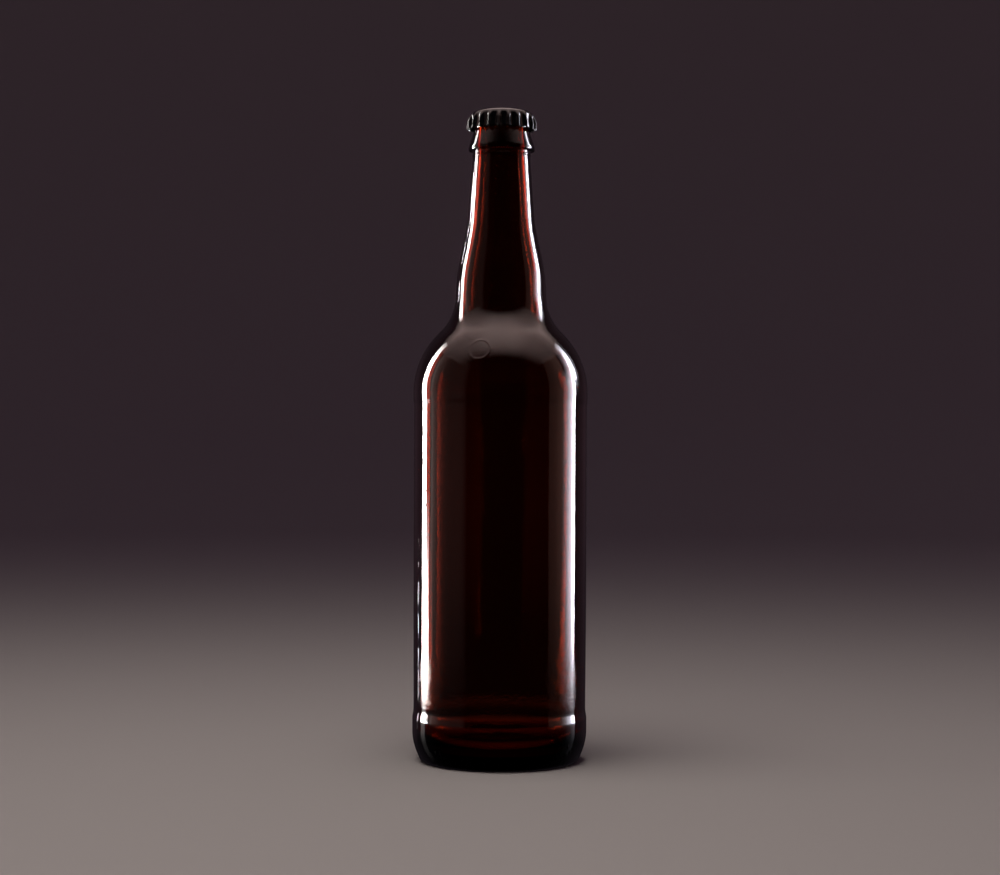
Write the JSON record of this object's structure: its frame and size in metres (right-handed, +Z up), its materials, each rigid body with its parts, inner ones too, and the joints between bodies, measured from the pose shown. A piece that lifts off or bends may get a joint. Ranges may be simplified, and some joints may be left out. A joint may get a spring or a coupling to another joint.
{
  "type": "beer bottle",
  "caption": "Long-neck amber glass beer bottle with rounded shoulders and a dished base, empty, shut by a black fluted crown cap.",
  "frame": {"origin": "centre of the ring that the bottle stands on, at the level of the surface under it", "axes": "+Z up along the bottle's axis; the bottle is round, so +X and +Y may point anywhere"},
  "size_m": [0.073, 0.073, 0.2726],
  "materials": {
    "glass": "glossy",
    "cap": "glossy black lacquer"
  },
  "bodies": {
    "root": {"bottle_glass": "glass", "crown_cap": "cap"}
  },
  "joints": []
}
